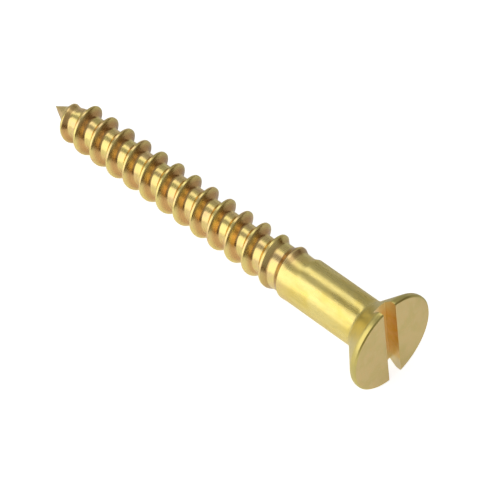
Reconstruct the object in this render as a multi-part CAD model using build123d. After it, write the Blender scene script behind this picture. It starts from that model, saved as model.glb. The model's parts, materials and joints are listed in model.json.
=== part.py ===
from build123d import *
import os
from math import cos, pi, radians, sin, tan

# A slotted flat countersunk wood screw, number 8 gauge by 1 1/2 inch, in solid brass.
# It lies along X: the flat face of the head is at X = 0 and faces +X, and the point is at -X.
# The screwdriver slot runs along Z. All sizes are in millimetres, and all angles in degrees.
# "Depth" is the distance from the head's flat face towards the point, so X = -depth.

# --- the blank: head and plain shank ---
overall_length = 38.1
shank_diameter = 4.17
head_diameter = 8.50
rim_thickness = 0.50
countersink_angle = 90.0

# --- the screwdriver slot ---
slot_width = 1.32
slot_depth = 1.15

# --- the thread: right-handed, cut into the shank, so its crest starts as wide as the shank ---
thread_pitch = 1.95
core_diameter = 2.66
crest_width = 0.22
flank_width = 0.52
thread_start_depth = 9.4
crest_taper = 0.08
thread_phase = 0.76

# --- the run-out: the groove starts shallow beside the shank, and then goes to its full depth ---
shallow_share = 0.28
shallow_length = 0.8
deepening_depth = 10.4
deepening_length = 4.5

# --- the gimlet point ---
point_length = 3.1
point_curve = 1.3
tip_diameter = 0.10
flight_start = 0.8
flight_full = 2.9

# --- how finely the thread is described ---
sections_per_turn = 10

shank_radius = shank_diameter / 2
head_radius = head_diameter / 2
core_radius = core_diameter / 2
cone_height = (head_radius - shank_radius) / tan(radians(countersink_angle / 2))


def smooth_step(value):
    """Goes gently from 0 to 1 as value goes from 0 to 1, and stays level outside that."""
    value = min(max(value, 0.0), 1.0)
    return value * value * (3 - 2 * value)


def groove_share(depth):
    """How much of its full depth the thread's groove has at one depth along the screw."""
    shallow = smooth_step((depth - thread_start_depth) / shallow_length)
    deep = smooth_step((depth - deepening_depth) / deepening_length)
    return shallow_share * shallow + (1 - shallow_share) * deep


def thread_radii(depth):
    """Radii of the thread's root and crest at one depth.

    The root falls away from the shank over the run-out and closes to the gimlet point. The crest
    tapers a little from the shank's radius, and its flight dies away just short of the tip.
    """
    from_tip = overall_length - depth
    threaded_share = (depth - thread_start_depth) / (overall_length - thread_start_depth)
    point_share = 1 - max(0.0, 1 - from_tip / point_length) ** point_curve
    bare_core = max(core_radius * point_share, tip_diameter / 2)
    full_crest = shank_radius - crest_taper * threaded_share
    flight = smooth_step((from_tip - flight_start) / (flight_full - flight_start))
    crest = bare_core + (full_crest - core_radius) * flight
    root = crest + (bare_core - crest) * groove_share(depth)
    return root, crest


def thread_section(depth):
    """The closed outline of the threaded part, cut square to the axis at one depth.

    It turns once per pitch as the depth grows, which is what makes the thread a helix. Places
    round the outline are shares of a turn, counted from the middle of the crest.
    """
    root, crest = thread_radii(depth)
    crest_side = crest_width / thread_pitch / 2
    flank_foot = crest_side + flank_width / thread_pitch
    turned = thread_phase - depth / thread_pitch

    def place(share, radius):
        angle = 2 * pi * (share + turned)
        return Vector(-depth, radius * cos(angle), radius * sin(angle))

    def flank(start, start_radius, end, end_radius):
        """One side of the ridge: a spiral arc, drawn as the cubic that leaves both ends along it."""
        if start_radius == end_radius:
            middle = place((start + end) / 2, start_radius)
            return Edge.make_three_point_arc(place(start, start_radius), middle, place(end, end_radius))
        around = 2 * pi * (end - start)

        def heading(share, radius):
            angle = 2 * pi * (share + turned)
            outward = Vector(0, cos(angle), sin(angle)) * (end_radius - start_radius)
            return outward + Vector(0, -sin(angle), cos(angle)) * (radius * around)

        first = place(start, start_radius)
        last = place(end, end_radius)
        after_first = first + heading(start, start_radius) / 3
        before_last = last - heading(end, end_radius) / 3
        return Edge.make_bezier(first, after_first, before_last, last)

    crest_ends = place(-crest_side, crest), place(crest_side, crest)
    root_ends = place(flank_foot, root), place(-flank_foot, root)
    return Wire(
        [
            flank(-flank_foot, root, -crest_side, crest),
            Edge.make_three_point_arc(crest_ends[0], place(0, crest), crest_ends[1]),
            flank(crest_side, crest, flank_foot, root),
            Edge.make_three_point_arc(root_ends[0], place(0.5, root), root_ends[1]),
        ]
    )


def threaded_part():
    """The thread and the gimlet point: one solid lofted through the turning sections."""
    length = overall_length - thread_start_depth
    count = round(length / thread_pitch * sections_per_turn)
    depths = [thread_start_depth + length * index / count for index in range(count + 1)]
    return Solid.make_loft([thread_section(depth) for depth in depths])


def head_and_shank():
    """The countersunk head and the plain shank, turned about X."""
    outline = Polyline(
        (0, 0),
        (0, head_radius),
        (-rim_thickness, head_radius),
        (-rim_thickness - cone_height, shank_radius),
        (-thread_start_depth, shank_radius),
        (-thread_start_depth, 0),
        close=True,
    )
    return revolve(make_face(outline), Axis.X)


def driver_slot():
    """The space that the screwdriver's blade goes in, open at both sides of the head along Z."""
    return Box(2 * slot_depth, slot_width, 2 * head_diameter)


def wood_screw():
    return head_and_shank() - driver_slot() + threaded_part()


os.makedirs("parts", exist_ok=True)
export_step(wood_screw(), "parts/wood_screw.step")
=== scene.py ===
import json
from math import asin, cos, pi, radians, sin, sqrt, tan

import bmesh
import bpy
from mathutils import Matrix, Vector, noise


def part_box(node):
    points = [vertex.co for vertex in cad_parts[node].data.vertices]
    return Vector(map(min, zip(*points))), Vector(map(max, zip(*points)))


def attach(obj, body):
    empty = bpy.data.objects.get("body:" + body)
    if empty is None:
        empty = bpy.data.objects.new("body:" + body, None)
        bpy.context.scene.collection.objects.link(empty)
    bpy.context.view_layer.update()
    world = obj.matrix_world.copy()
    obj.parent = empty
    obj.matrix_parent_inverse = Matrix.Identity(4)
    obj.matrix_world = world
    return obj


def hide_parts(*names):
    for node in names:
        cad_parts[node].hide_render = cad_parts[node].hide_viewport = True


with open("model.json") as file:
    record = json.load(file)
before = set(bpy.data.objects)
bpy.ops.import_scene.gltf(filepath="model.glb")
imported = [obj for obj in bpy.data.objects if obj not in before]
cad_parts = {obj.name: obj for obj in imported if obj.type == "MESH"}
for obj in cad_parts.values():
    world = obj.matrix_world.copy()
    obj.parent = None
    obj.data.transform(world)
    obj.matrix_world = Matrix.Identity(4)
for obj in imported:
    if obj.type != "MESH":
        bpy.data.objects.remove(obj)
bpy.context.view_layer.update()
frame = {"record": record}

# A slotted brass wood screw. It lies along X, with the head's flat face at X = 0 facing +X and the
# point at -X. "Depth" is the distance from that face towards the point, so X = -depth.
# Everything is in metres: a size in millimetres is written as a number times mm.
mm = 0.001
mounts = {mount["name"]: mount for mount in frame["record"]["mounts"]}

# --- sizes read from the frame ---
overall_length = -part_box("wood_screw")[0].x
shank_radius = mounts["shank"]["dims"]["r_mm"] * mm
head_radius = mounts["countersink"]["dims"]["r_mm"] * mm
cone_height = mounts["countersink"]["dims"]["length_mm"] * mm
rim_thickness = -mounts["countersink"]["pos_m"][0]

# --- the head's edges and its slot ---
slot_width = 1.32 * mm
slot_depth = 1.15 * mm
rim_break = 0.11 * mm
rim_round = 0.06 * mm
rim_back_round = 0.50 * mm
rim_back_set_back = 0.41 * rim_back_round
neck_round = 0.30 * mm
neck_stretch = 1.2
slot_edge_break = 0.035 * mm
sharp_edge_degrees = 35

# --- the thread ---
pitch = 1.95 * mm
core_radius = 1.33 * mm
crest_width = 0.20 * mm
flank_width = 0.47 * mm
crest_taper = 0.08 * mm
crest_swell = 0.07 * mm
swell_rise = 1.6 * mm
swell_end = 17 * mm
swell_fall = 4 * mm
thread_phase = 0.76
thread_start = 9.4 * mm
crest_round = 0.08
root_round = 0.30

# --- the run-out: the groove starts shallow beside the shank, and then goes to its full depth ---
shallow_share = 0.28
shallow_length = 0.8 * mm
deepening_start = 10.4 * mm
deepening_length = 4.5 * mm

# --- the gimlet point ---
point_length = 3.1 * mm
point_curve = 1.3
flight_start = 0.8 * mm
flight_full = 2.9 * mm
tip_radius = 0.035 * mm

# --- the slight wander of the surfaces: how far apart its waves are, and how high they stand ---
head_wave = 2.2 * mm
head_wave_height = 0.006 * mm
head_wave_fade = 1 * mm
thread_wave = 1.7 * mm
thread_wave_height = 0.005 * mm

# --- how finely the mesh is divided: columns run along the screw, rows go round it ---
side_columns = 56
slot_columns = 8
columns = 2 * (side_columns + slot_columns)
even_columns_from = 5 * mm
face_steps = 14
arc_steps = 3
cone_rows = 16
cone_row_gap = 0.06 * mm
neck_rows = 6
shank_row_gap = 0.30 * mm
thread_row_start = 8.2 * mm

# --- which of the mesh's materials a face has ---
FINISH_HEAD = 0
FINISH_SHANK = 1
FINISH_FACE = 2
FINISH_SLOT = 3

# --- the camera: angles in degrees, and the point it looks at in millimetres ---
camera_azimuth = 50.7
camera_elevation = 50.6
camera_roll = -8.2
camera_distance = 0.220
camera_aim = (-11.54, -2.93, 5.82)
camera_lens = 204.7

# --- the studio ---
light_distance = 0.5
panel_left = -1.1
panel_right = 0.15
room_light = (0.32, 0.32, 0.32)
room_dark = (0.10, 0.058, 0.021)
card_edges = (("X", -0.45, 0.15), ("Z", 0.45, 0.20))
floor_reach = 1.2
floor_white = 0.74
floor_glow = 0.76
pool_direction = (0.25, -1, 0)
pool_glow = 0.33
pool_edge = -4 * mm
pool_fade = 8 * mm
rest_clearance = 10 * mm


def smooth_step(value):
    """Goes gently from 0 to 1 as value goes from 0 to 1, and stays level outside that."""
    value = min(max(value, 0.0), 1.0)
    return value * value * (3 - 2 * value)


# ---------------------------------------------------------------- camera

def add_camera():
    azimuth = radians(camera_azimuth)
    elevation = radians(camera_elevation)
    roll = radians(camera_roll)
    aim = Vector(camera_aim) * mm
    back = Vector((sin(azimuth) * cos(elevation), -cos(azimuth) * cos(elevation), sin(elevation)))
    level_right = Vector((cos(azimuth), sin(azimuth), 0))
    level_up = back.cross(level_right)
    right = cos(roll) * level_right + sin(roll) * level_up
    up = cos(roll) * level_up - sin(roll) * level_right
    data = bpy.data.cameras.new("camera")
    data.lens = camera_lens
    data.sensor_width = 36
    data.clip_start = 0.005
    data.clip_end = 20
    camera = bpy.data.objects.new("camera", data)
    turn = Matrix((right, up, back)).transposed().to_4x4()
    camera.matrix_world = Matrix.Translation(aim + camera_distance * back) @ turn
    bpy.context.scene.collection.objects.link(camera)
    bpy.context.scene.camera = camera


# ---------------------------------------------------------------- the screw's shape

def arc_points(centre, radius, start, end):
    """Points (depth, radius) on an arc, from one angle to another, in degrees."""
    points = []
    for step in range(arc_steps + 1):
        angle = radians(start + (end - start) * step / arc_steps)
        points.append((centre[0] - radius * cos(angle), centre[1] + radius * sin(angle)))
    return points


def head_outline():
    """(depth, radius) down the outside of the head and shank, from the face to the thread's rows."""
    cone_end = rim_thickness + cone_height
    slope = cone_height / (head_radius - shank_radius)
    # The rim's front edge: a 45 degree break with a small round at each of its two corners. A round
    # that turns by 45 degrees starts short of its corner, by its radius times the tangent of 22.5
    # degrees.
    set_back = rim_round * tan(radians(22.5))
    outline = arc_points((rim_round, head_radius - rim_break - set_back), rim_round, 0, 45)
    outline += arc_points((rim_break + set_back, head_radius - rim_round), rim_round, 45, 90)
    # The rim's back edge: one wide round, from the rim over to the cone.
    back_centre = (rim_thickness - rim_back_set_back, head_radius - rim_back_round)
    outline += arc_points(back_centre, rim_back_round, 90, 135)
    neck_start = cone_end - neck_round
    first = outline[-1][0] + cone_row_gap
    for row in range(cone_rows + 1):
        depth = first + (neck_start - first) * row / cone_rows
        outline.append((depth, head_radius - (depth - rim_thickness) / slope))
    # The floor of the slot needs a row of its own.
    outline.append((slot_depth, head_radius - (slot_depth - rim_thickness) / slope))
    outline.sort()
    # The neck: a curve that runs smoothly out of the cone and into the shank.
    start = Vector((neck_start, shank_radius + neck_round / slope, 0))
    corner = Vector((cone_end, shank_radius, 0))
    end = Vector((cone_end + neck_round * neck_stretch, shank_radius, 0))
    for row in range(1, neck_rows + 1):
        share = row / neck_rows
        point = start.lerp(corner, share).lerp(corner.lerp(end, share), share)
        outline.append((point.x, point.y))
    rows = round((thread_row_start - outline[-1][0]) / shank_row_gap)
    first = outline[-1][0]
    for row in range(1, rows + 1):
        outline.append((first + (thread_row_start - first) * row / rows, shank_radius))
    return outline


def column_angle(column, depth, radius):
    """Angle round X of a column, counted from +Y towards +Z.

    Beside the slot, columns stand exactly on its two edges. Down the shank they become even.
    """
    quarter = side_columns / 2
    half = side_columns + slot_columns
    even = 2 * pi * column / columns
    if depth > even_columns_from:
        return even
    opening = asin(slot_width / 2 / radius)
    turn, place = divmod(column + quarter, half)
    if place <= side_columns:
        beside = -(pi / 2 - opening) + (pi - 2 * opening) * place / side_columns
    else:
        beside = (pi / 2 - opening) + 2 * opening * (place - side_columns) / slot_columns
    beside += pi * turn
    blend = smooth_step((depth - slot_depth) / (even_columns_from - slot_depth))
    return beside + (even - beside) * blend


def unevenness(point, wave, height):
    """How far a surface wanders at a point, for waves of about this length and at most this height."""
    return noise.noise(point / wave) * height


def thread_profile(share):
    """Height of the ridge, 1 at the crest and 0 in the root, at a share of a pitch from its middle."""
    crest_half = crest_width / pitch / 2
    flank = flank_width / pitch
    down = (abs(share) - crest_half) / flank
    if down < -crest_round:
        return 1.0
    if down < crest_round:
        return 1 - (down + crest_round) ** 2 / (4 * crest_round)
    if down < 1 - root_round:
        return 1 - down
    if down < 1 + root_round:
        return (1 + root_round - down) ** 2 / (4 * root_round)
    return 0.0


def profile_shares():
    """Where the thread's rows lie across one pitch: close together where the profile bends."""
    crest_half = crest_width / pitch / 2
    flank = flank_width / pitch
    side = [crest_half * 0.5]
    side += [crest_half + flank * down for down in (-crest_round, 0, crest_round, 0.30, 0.50)]
    side += [crest_half + flank * (1 + root_round * bend) for bend in (-1, -0.6, -0.2, 0.2, 0.6, 1)]
    side.append((side[-1] + 0.5) / 2)
    return [-share for share in reversed(side)] + [0.0] + side + [0.5]


def groove_share(depth):
    """How much of its full depth the thread's groove has at one depth along the screw."""
    shallow = smooth_step((depth - thread_start) / shallow_length)
    deep = smooth_step((depth - deepening_start) / deepening_length)
    return shallow_share * shallow + (1 - shallow_share) * deep


def threaded_radius(depth, share):
    """Radius of the threaded part at a depth, share of a pitch past the middle of a crest."""
    from_tip = overall_length - depth
    point_share = 1 - max(0.0, 1 - from_tip / point_length) ** point_curve
    bare = max(core_radius * point_share, tip_radius)
    threaded_share = (depth - thread_start) / (overall_length - thread_start)
    swell = smooth_step((depth - thread_start) / swell_rise) * smooth_step((swell_end - depth) / swell_fall)
    full_crest = shank_radius - crest_taper * max(threaded_share, 0) + crest_swell * swell
    crest_from_tip = from_tip + share * pitch
    flight = smooth_step((crest_from_tip - flight_start) / (flight_full - flight_start))
    crest = bare + (full_crest - core_radius) * flight
    groove = depth + (0.5 - share if share >= 0 else -0.5 - share) * pitch
    return crest - (crest - bare) * (1 - thread_profile(share)) * groove_share(groove)


class ScrewMesh:
    """The screw's one closed mesh, put together from rings of vertices."""

    def __init__(self):
        self.bm = bmesh.new()

    def vertex(self, depth, y, z):
        return self.bm.verts.new((-depth, y, z))

    def quad(self, *corners, finish):
        """A face through the corners, leaving out any that coincide."""
        distinct = []
        for corner in corners:
            if corner not in distinct:
                distinct.append(corner)
        if len(distinct) >= 3:
            face = self.bm.faces.new(distinct)
            face.material_index = finish
            face.smooth = True

    def strip(self, upper, lower, finish):
        """A row of faces between two rows of as many vertices."""
        for step in range(len(upper) - 1):
            self.quad(upper[step], upper[step + 1], lower[step + 1], lower[step], finish=finish)


def build_screw():
    mesh = ScrewMesh()
    last_ring = build_head(mesh)
    build_thread(mesh, last_ring)
    bmesh.ops.recalc_face_normals(mesh.bm, faces=mesh.bm.faces)
    return mesh.bm


def slot_gap(column):
    """True for a column strictly inside the slot's opening."""
    place = (column + side_columns // 2) % (side_columns + slot_columns)
    return place > side_columns


def head_ring(mesh, depth, radius):
    """The vertices round the head or shank at one depth, by column, open where the slot is."""
    ring = {}
    for column in range(columns):
        if depth < slot_depth and slot_gap(column):
            continue
        angle = column_angle(column, depth, radius)
        wander = 0.0
        if depth > slot_depth:
            place = Vector((-depth, radius * cos(angle), radius * sin(angle)))
            fade = smooth_step((depth - slot_depth) / head_wave_fade)
            wander = unevenness(place, head_wave, head_wave_height) * fade
        ring[column] = mesh.vertex(depth, (radius + wander) * cos(angle), (radius + wander) * sin(angle))
    return ring


def slot_chord(mesh, ring, arc, side, depth, radius):
    """The vertices along one wall of the slot at one depth. Its two ends are shared with the ring."""
    reach = sqrt(radius ** 2 - (slot_width / 2) ** 2)
    chord = [ring[arc[0]]]
    for step in range(1, side_columns):
        height = -reach * cos(pi * step / side_columns)
        chord.append(mesh.vertex(depth, side * slot_width / 2, height))
    chord.append(ring[arc[-1]])
    return chord


def build_head(mesh):
    """Rings down the head and shank, then the two half faces, the slot's walls and its floor."""
    outline = head_outline()
    rings = [head_ring(mesh, depth, radius) for depth, radius in outline]
    for row, (upper, lower) in enumerate(zip(rings, rings[1:])):
        finish = FINISH_SHANK if outline[row][0] > rim_thickness + cone_height else FINISH_HEAD
        for column in range(columns):
            beyond = (column + 1) % columns
            if all(c in ring for ring in (upper, lower) for c in (column, beyond)):
                mesh.quad(upper[column], upper[beyond], lower[beyond], lower[column], finish=finish)
    slotted = [(ring, place) for ring, place in zip(rings, outline) if place[0] <= slot_depth]
    quarter = side_columns // 2
    wall_feet = {}
    for side in (1, -1):
        first = -quarter if side > 0 else quarter + slot_columns
        arc = [(first + step) % columns for step in range(side_columns + 1)]
        if side < 0:
            arc.reverse()
        chords = [slot_chord(mesh, ring, arc, side, *place) for ring, place in slotted]
        for upper, lower in zip(chords, chords[1:]):
            mesh.strip(upper, lower, FINISH_SLOT)
        build_half_face(mesh, [rings[0][column] for column in arc], chords[0])
        wall_feet[side] = chords[-1]
    floor_ring = slotted[-1][0]
    build_slot_floor(mesh, floor_ring, wall_feet[1], wall_feet[-1])
    return [rings[-1][column] for column in range(columns)]


def build_half_face(mesh, arc, chord):
    """Half of the head's flat face: a grid between its arc and the slot, which share their ends."""
    rows = [arc]
    for step in range(1, face_steps):
        row = [arc[0]]
        for a, b in zip(arc[1:-1], chord[1:-1]):
            row.append(mesh.bm.verts.new(a.co.lerp(b.co, step / face_steps)))
        row.append(arc[-1])
        rows.append(row)
    rows.append(chord)
    for upper, lower in zip(rows, rows[1:]):
        mesh.strip(upper, lower, FINISH_FACE)


def build_slot_floor(mesh, ring, plus_chord, minus_chord):
    """The slot's flat floor, between the feet of its two walls."""
    quarter = side_columns // 2
    top = [ring[quarter + step] for step in range(slot_columns + 1)]
    bottom = [ring[(-quarter - step) % columns] for step in range(slot_columns + 1)]
    rows = [bottom]
    for step in range(1, side_columns):
        share_up = (1 - cos(pi * step / side_columns)) / 2
        row = [plus_chord[step]]
        for low, high in zip(bottom[1:-1], top[1:-1]):
            row.append(mesh.bm.verts.new(low.co.lerp(high.co, share_up)))
        row.append(minus_chord[step])
        rows.append(row)
    rows.append(top)
    for upper, lower in zip(rows, rows[1:]):
        mesh.strip(upper, lower, FINISH_SLOT)


def build_thread(mesh, first_ring):
    """Rows that wind down the thread to the point.

    Row k is a helix: it lies a fixed share of a pitch from a crest. Its depth is held between the
    shank's last ring and the tip, so rows that would start above that ring meet it instead.
    """
    shares = profile_shares()
    row_count = len(shares)
    turns = int(overall_length / pitch) + 2
    tip_depth = overall_length - tip_radius
    first_turn = int(thread_row_start / pitch) - 1
    tip = mesh.vertex(overall_length, 0, 0)
    tip_ring = []
    for column in range(columns):
        angle = 2 * pi * column / columns
        radius = threaded_radius(tip_depth, 0.5)
        tip_ring.append(mesh.vertex(tip_depth, radius * cos(angle), radius * sin(angle)))
    grid = []
    for column in range(columns):
        angle = 2 * pi * column / columns
        line = []
        for turn in range(first_turn, turns):
            for share in shares:
                depth = pitch * (thread_phase - column / columns + turn + share)
                if depth <= thread_row_start:
                    line.append(first_ring[column])
                elif depth >= tip_depth:
                    line.append(tip_ring[column])
                else:
                    radius = threaded_radius(depth, share)
                    place = Vector((-depth, radius * cos(angle), radius * sin(angle)))
                    radius += unevenness(place, thread_wave, thread_wave_height)
                    line.append(mesh.vertex(depth, radius * cos(angle), radius * sin(angle)))
        grid.append(line)
    # Past a full turn, a row goes on as the row one pitch nearer the head.
    grid.append([first_ring[0]] * row_count + grid[0][:-row_count])
    for line, beyond in zip(grid, grid[1:]):
        for row in range(len(line) - 1):
            mesh.quad(line[row], beyond[row], beyond[row + 1], line[row + 1], finish=FINISH_SHANK)
    for column in range(columns):
        mesh.quad(tip_ring[column], tip_ring[(column + 1) % columns], tip, finish=FINISH_SHANK)


def break_slot_edges(bm):
    """Takes the sharpness off the slot's edges with a narrow bevel."""
    bm.normal_update()
    just_below_slot = slot_depth + 0.01 * mm
    sharp = [
        edge
        for edge in bm.edges
        if len(edge.link_faces) == 2
        and edge.calc_face_angle() > radians(sharp_edge_degrees)
        and all(-vertex.co.x <= just_below_slot for vertex in edge.verts)
    ]
    bmesh.ops.bevel(
        bm, geom=sharp, offset=slot_edge_break, offset_type="OFFSET", segments=2, profile=0.5,
        affect="EDGES", clamp_overlap=True,
    )
    for face in bm.faces:
        face.smooth = True


# ---------------------------------------------------------------- the brass

class Brass:
    """One procedural brass: a metallic shader, with patterns laid over its colour, gloss and relief.

    All patterns are functions of the place on the screw, in millimetres, so they ride with it.
    """

    def __init__(self, name):
        self.material = bpy.data.materials.new(name)
        self.material.use_nodes = True
        self.nodes = self.material.node_tree.nodes
        self.link = self.material.node_tree.links.new
        self.shader = self.nodes["Principled BSDF"]
        self.shader.inputs["Metallic"].default_value = 1
        coordinates = self.nodes.new("ShaderNodeTexCoord")
        self.place = self.vector_math("SCALE", coordinates.outputs["Object"], scale=1 / mm)
        self.along = self.component(self.place, "X")
        self.height = self.component(self.place, "Z")
        self.facing = self.component(coordinates.outputs["Normal"], "X")
        self.radius = self.vector_math("LENGTH", self.vector_math("MULTIPLY", self.place, (0, 1, 1)))

    def component(self, vector, axis):
        node = self.nodes.new("ShaderNodeSeparateXYZ")
        self.link(vector, node.inputs[0])
        return node.outputs[axis]

    def vector_math(self, operation, value, other=None, scale=None):
        node = self.nodes.new("ShaderNodeVectorMath")
        node.operation = operation
        self.link(value, node.inputs[0])
        if other is not None:
            node.inputs[1].default_value = other
        if scale is not None:
            node.inputs["Scale"].default_value = scale
        return node.outputs["Value" if operation == "LENGTH" else "Vector"]

    def math(self, operation, *values):
        node = self.nodes.new("ShaderNodeMath")
        node.operation = operation
        for socket, value in zip(node.inputs, values):
            if isinstance(value, (int, float)):
                socket.default_value = value
            else:
                self.link(value, socket)
        return node.outputs[0]

    def combine(self, x, y):
        node = self.nodes.new("ShaderNodeCombineXYZ")
        self.link(x, node.inputs["X"])
        self.link(y, node.inputs["Y"])
        return node.outputs[0]

    def noise(self, place, size, detail=3.0, stretch=(1, 1, 1)):
        """Uneven patches, each about size millimetres across, stretched along an axis if asked."""
        stretched = self.vector_math("MULTIPLY", place, tuple(1 / (size * share) for share in stretch))
        node = self.nodes.new("ShaderNodeTexNoise")
        node.inputs["Scale"].default_value = 1
        node.inputs["Detail"].default_value = detail
        node.inputs["Roughness"].default_value = 0.6
        self.link(stretched, node.inputs["Vector"])
        return node.outputs["Fac"]

    def rings(self, size, detail=2.0):
        """Fine turning marks: they change along the screw and outwards, but hardly round it.

        They drift by up to a quarter of a millimetre, over some 3 mm, so that they aren't perfect.
        """
        drift = self.math("MULTIPLY", self.noise(self.place, 3.0), 0.25)
        along = self.math("ADD", self.along, drift)
        return self.noise(self.combine(along, self.radius), size, detail)

    def spread(self, value, low, high, out_low=0.0, out_high=1.0):
        """Takes low..high to out_low..out_high smoothly, and stays level beyond."""
        node = self.nodes.new("ShaderNodeMapRange")
        node.interpolation_type = "SMOOTHSTEP"
        self.link(value, node.inputs["Value"])
        node.inputs["From Min"].default_value = low
        node.inputs["From Max"].default_value = high
        node.inputs["To Min"].default_value = out_low
        node.inputs["To Max"].default_value = out_high
        return node.outputs[0]

    def mix(self, share, first, second):
        """A colour between first and second. Each is three numbers or another pattern's colour."""
        node = self.nodes.new("ShaderNodeMix")
        node.data_type = "RGBA"
        self.link(share, node.inputs["Factor"])
        for socket, colour in ((node.inputs[6], first), (node.inputs[7], second)):
            if isinstance(colour, tuple):
                socket.default_value = (*colour, 1)
            else:
                self.link(colour, socket)
        return node.outputs[2]

    def relief(self, *layers):
        """Bumps laid over each other. Each layer is a pattern and its height in millimetres."""
        below = None
        for pattern, height in layers:
            bump = self.nodes.new("ShaderNodeBump")
            bump.inputs["Strength"].default_value = 1
            bump.inputs["Distance"].default_value = height * mm
            self.link(pattern, bump.inputs["Height"])
            if below is not None:
                self.link(below, bump.inputs["Normal"])
            below = bump.outputs["Normal"]
        self.link(below, self.shader.inputs["Normal"])

    def finish(self, colour, roughness):
        self.link(colour, self.shader.inputs["Base Color"])
        self.link(roughness, self.shader.inputs["Roughness"])
        return self.material


# Colours of brass, as the light that the bare metal sends back.
bright = (0.92, 0.76, 0.27)
yellow = (0.88, 0.69, 0.18)
olive = (0.66, 0.56, 0.19)
rosy = (0.95, 0.68, 0.35)
# Two of these stand for painted shade: the orange-brown one for the thread's head-side flanks near the
# root, and the darkest for the corners of the run-out.
amber_shade = (0.69, 0.41, 0.155)
brown = (0.55, 0.32, 0.12)
umber_shade = (0.40, 0.19, 0.07)
honey = (0.90, 0.62, 0.20)
pale = (0.78, 0.61, 0.27)
# The last is the slot's paler colour; near the slot's ends it is painted light.
slot_pale = (0.92, 0.78, 0.44)


def turned_brass():
    """The head's rim and cone: fine rings from the lathe."""
    brass = Brass("brass_turned")
    rings = brass.rings(0.07)
    clouds = brass.noise(brass.place, 1.3, detail=3)
    colour = brass.mix(brass.spread(clouds, 0.30, 0.70, 0.60, 1.0), yellow, olive)
    colour = brass.mix(brass.spread(rings, 0.55, 0.78, 0, 0.3), colour, bright)
    brass.relief((rings, 0.003), (clouds, 0.006))
    return brass.finish(colour, brass.spread(rings, 0.3, 0.7, 0.28, 0.40))


def shank_brass():
    """The shank and the thread, cut from one drawn wire.

    The shank has faint lengthwise lines and scuffs. The thread has cutting marks round it, and is
    rosier, with patches of brown tarnish. Faces towards the head carry a painted highlight, with
    orange-brown painted shade low on the head-side flanks near the root, and dark painted shade lies in the
    corners of the run-out.
    """
    brass = Brass("brass_drawn")
    threaded = brass.spread(brass.along, -11.5, -8.5, 1, 0)
    plain = brass.math("SUBTRACT", 1.0, threaded)
    clouds = brass.noise(brass.place, 1.3, detail=4, stretch=(1.5, 1, 1))
    lines = brass.math("MULTIPLY", plain, brass.noise(brass.place, 0.10, stretch=(40, 1, 1)))
    scuffs = brass.math("MULTIPLY", plain, brass.noise(brass.place, 0.45, detail=4, stretch=(5, 1, 1)))
    marks = brass.math("MULTIPLY", threaded, brass.rings(0.06))
    headward_light_and_shade = brass.spread(brass.facing, 0.15, 0.75)
    inward_shade = brass.spread(brass.radius, 1.60, 2.05, 1, 0)
    rosiness = brass.math("MULTIPLY", threaded, brass.spread(clouds, 0.40, 0.66, 0, 0.8))
    tarnish = brass.math("MULTIPLY", threaded, brass.spread(clouds, 0.58, 0.76, 0, 0.4))
    colour = brass.mix(brass.spread(clouds, 0.35, 0.68), bright, yellow)
    colour = brass.mix(brass.spread(lines, 0.55, 0.80, 0, 0.5), colour, olive)
    colour = brass.mix(brass.spread(scuffs, 0.52, 0.72, 0, 0.55), colour, olive)
    colour = brass.mix(rosiness, colour, rosy)
    # Painted highlight: faces that turn towards the head are mixed towards the bright colour.
    colour = brass.mix(brass.math("MULTIPLY", headward_light_and_shade, 0.6), colour, bright)
    # Painted shade: those faces near the root turn orange-brown, as a dark reflection.
    colour = brass.mix(brass.math("MULTIPLY", headward_light_and_shade, inward_shade), colour, amber_shade)
    colour = brass.mix(tarnish, colour, brown)
    # Painted shade in the run-out's crease: its steep flanks, from about 9.7 to 11.5 mm behind the face,
    # turn dark brown.
    past_shank = brass.spread(brass.along, -9.7, -9.3, 1, 0)
    before_thread = brass.spread(brass.along, -13, -11.5)
    steep = brass.spread(brass.math("ABSOLUTE", brass.facing), 0.10, 0.35, 0, 0.60)
    corner = brass.math("MULTIPLY", brass.math("MULTIPLY", past_shank, before_thread), steep)
    colour = brass.mix(corner, colour, umber_shade)
    brass.relief((lines, 0.0015), (clouds, 0.005), (scuffs, 0.005), (marks, 0.0012))
    wear = brass.math("ADD", scuffs, marks)
    gloss = brass.math("MULTIPLY", threaded, 0.03)
    roughness = brass.math("SUBTRACT", brass.spread(wear, 0.3, 0.7, 0.24, 0.36), gloss)
    return brass.finish(colour, roughness)


def faced_brass():
    """The head's flat face: satin, with faint rings from facing off, olive clouds and rosy mottles."""
    brass = Brass("brass_faced")
    rings = brass.rings(0.05)
    mottles = brass.noise(brass.place, 0.35, detail=5)
    clouds = brass.noise(brass.place, 1.4, detail=3)
    colour = brass.mix(brass.spread(clouds, 0.42, 0.64, 0, 0.45), pale, olive)
    colour = brass.mix(brass.spread(mottles, 0.45, 0.75, 0, 0.38), colour, rosy)
    colour = brass.mix(brass.spread(rings, 0.50, 0.80, 0, 0.35), colour, olive)
    brass.relief((rings, 0.003), (mottles, 0.005))
    return brass.finish(colour, brass.spread(mottles, 0.3, 0.7, 0.40, 0.52))


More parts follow.
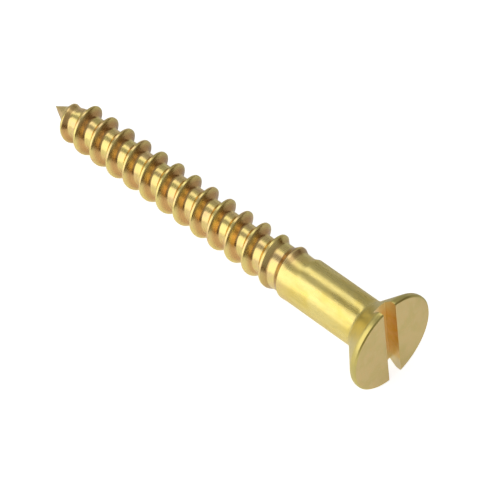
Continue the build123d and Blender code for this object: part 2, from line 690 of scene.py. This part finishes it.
def sawn_brass():
    """The slot's walls and floor: honey and rose, with fine saw marks that run along the slot.

    Towards the slot's two ends they are painted paler, as painted light that reaches in at the open ends.
    """
    brass = Brass("brass_sawn")
    marks = brass.noise(brass.place, 0.05, stretch=(1, 1, 12))
    clouds = brass.noise(brass.place, 0.8, detail=4)
    lit_ends = brass.spread(brass.math("ABSOLUTE", brass.height), 2.3, 3.2, 0, 0.9)
    colour = brass.mix(brass.spread(clouds, 0.35, 0.68), honey, rosy)
    # Faces that turn out of the slot, such as its floor, are mixed part way to the pale colour.
    colour = brass.mix(brass.spread(brass.facing, 0.4, 0.9, 0, 0.4), colour, slot_pale)
    # Painted light: towards the slot's open ends the colour turns pale.
    colour = brass.mix(lit_ends, colour, slot_pale)
    colour = brass.mix(brass.spread(marks, 0.5, 0.75, 0, 0.25), colour, olive)
    brass.relief((marks, 0.003), (clouds, 0.010))
    return brass.finish(colour, brass.spread(marks, 0.3, 0.7, 0.28, 0.40))


def add_screw():
    bm = build_screw()
    break_slot_edges(bm)
    data = bpy.data.meshes.new("brass_wood_screw")
    bm.to_mesh(data)
    bm.free()
    for finish in (turned_brass, shank_brass, faced_brass, sawn_brass):
        data.materials.append(finish())
    screw = bpy.data.objects.new("brass_wood_screw", data)
    bpy.context.scene.collection.objects.link(screw)
    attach(screw, "root")
    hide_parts("wood_screw")
    return screw


# ---------------------------------------------------------------- floor and light

def resting_plane(screw):
    """A point and slope of the plane the screw lies on.

    It touches the head's rim and one crest of the thread, at least rest_clearance behind the rim.
    """
    points = [vertex.co for vertex in screw.data.vertices]
    rim = min(points, key=lambda point: point.z)
    behind = [point for point in points if rim.x - point.x > rest_clearance]
    slope = min((point.z - rim.z) / (rim.x - point.x) for point in behind)
    return rim.copy(), slope


def floor_paper():
    """White paper. The camera sees it overexposed, and a painted pool of light lies on it before the screw:
    a glow that only reflections and light see.
    """
    material = bpy.data.materials.new("floor_paper")
    material.use_nodes = True
    nodes = material.node_tree.nodes
    link = material.node_tree.links.new
    shader = nodes["Principled BSDF"]
    shader.inputs["Base Color"].default_value = (floor_white, floor_white, floor_white, 1)
    shader.inputs["Roughness"].default_value = 0.9
    shader.inputs["Specular IOR Level"].default_value = 0
    shader.inputs["Emission Color"].default_value = (1, 1, 1, 1)
    place = nodes.new("ShaderNodeTexCoord")
    across = nodes.new("ShaderNodeVectorMath")
    across.operation = "DOT_PRODUCT"
    across.inputs[1].default_value = pool_direction
    link(place.outputs["Object"], across.inputs[0])
    pool = nodes.new("ShaderNodeMapRange")
    pool.interpolation_type = "SMOOTHSTEP"
    pool.inputs["From Min"].default_value = pool_edge - pool_fade
    pool.inputs["From Max"].default_value = pool_edge
    pool.inputs["To Max"].default_value = pool_glow
    link(across.outputs["Value"], pool.inputs["Value"])
    rays = nodes.new("ShaderNodeLightPath")
    seen = nodes.new("ShaderNodeMix")
    seen.inputs["B"].default_value = floor_glow
    link(rays.outputs["Is Camera Ray"], seen.inputs["Factor"])
    link(pool.outputs["Result"], seen.inputs["A"])
    link(seen.outputs["Result"], shader.inputs["Emission Strength"])
    return material


def add_floor(screw):
    rim, slope = resting_plane(screw)
    corners = []
    for x, y in ((-1, -1), (1, -1), (1, 1), (-1, 1)):
        height = rim.z + slope * (rim.x - x * floor_reach)
        corners.append((x * floor_reach, y * floor_reach, height))
    data = bpy.data.meshes.new("floor")
    data.from_pydata(corners, [], [(0, 1, 2, 3)])
    data.materials.append(floor_paper())
    floor = bpy.data.objects.new("floor", data)
    bpy.context.scene.collection.objects.link(floor)


def add_panel(name, low, high, radiance):
    """A flat soft light along X. The screw sees it between two angles, counted from +Y over the top."""
    middle = radians((low + high) / 2)
    towards = Vector((0, cos(middle), sin(middle)))
    data = bpy.data.lights.new(name, "AREA")
    data.shape = "RECTANGLE"
    data.size = panel_right - panel_left
    data.size_y = 2 * light_distance * tan(radians((high - low) / 2))
    data.energy = radiance * pi * data.size * data.size_y
    panel = bpy.data.objects.new(name, data)
    lengthwise = Vector((1, 0, 0))
    turn = Matrix((lengthwise, towards.cross(lengthwise), towards)).transposed().to_4x4()
    place = Vector(((panel_left + panel_right) / 2, 0, 0)) + light_distance * towards
    panel.matrix_world = Matrix.Translation(place) @ turn
    panel.visible_camera = False
    bpy.context.scene.collection.objects.link(panel)


def add_room():
    """The room round the table: soft grey, with a dark warm card standing low beyond the screw's head.

    Only reflections and light see it. The camera sees the room as white as the paper.
    """
    world = bpy.data.worlds.new("room")
    world.use_nodes = True
    nodes = world.node_tree.nodes
    link = world.node_tree.links.new
    direction = nodes.new("ShaderNodeTexCoord")
    split = nodes.new("ShaderNodeSeparateXYZ")
    link(direction.outputs["Generated"], split.inputs[0])
    # The card fills the directions above one edge along X and below another along Z, and fades out.
    card = nodes.new("ShaderNodeMath")
    card.operation = "MULTIPLY"
    for socket, (axis, low, high) in zip(card.inputs, card_edges):
        edge = nodes.new("ShaderNodeMapRange")
        edge.interpolation_type = "SMOOTHSTEP"
        edge.inputs["From Min"].default_value = low
        edge.inputs["From Max"].default_value = high
        link(split.outputs[axis], edge.inputs["Value"])
        link(edge.outputs["Result"], socket)
    rays = nodes.new("ShaderNodeLightPath")
    factors = (card.outputs["Value"], rays.outputs["Is Camera Ray"])
    below = None
    for factor, colour in zip(factors, (room_dark, (1, 1, 1))):
        mix = nodes.new("ShaderNodeMix")
        mix.data_type = "RGBA"
        mix.inputs[6].default_value = (*room_light, 1)
        mix.inputs[7].default_value = (*colour, 1)
        link(factor, mix.inputs["Factor"])
        if below is not None:
            link(below, mix.inputs[6])
        below = mix.outputs[2]
    link(below, nodes["Background"].inputs["Color"])
    bpy.context.scene.world = world


def add_lights():
    add_panel("front_panel", low=112, high=178, radiance=1.01)
    add_panel("top_panel", low=56, high=80, radiance=0.92)
    add_room()
    bpy.context.scene.view_settings.view_transform = "Standard"


add_camera()
screw = add_screw()
add_floor(screw)
add_lights()
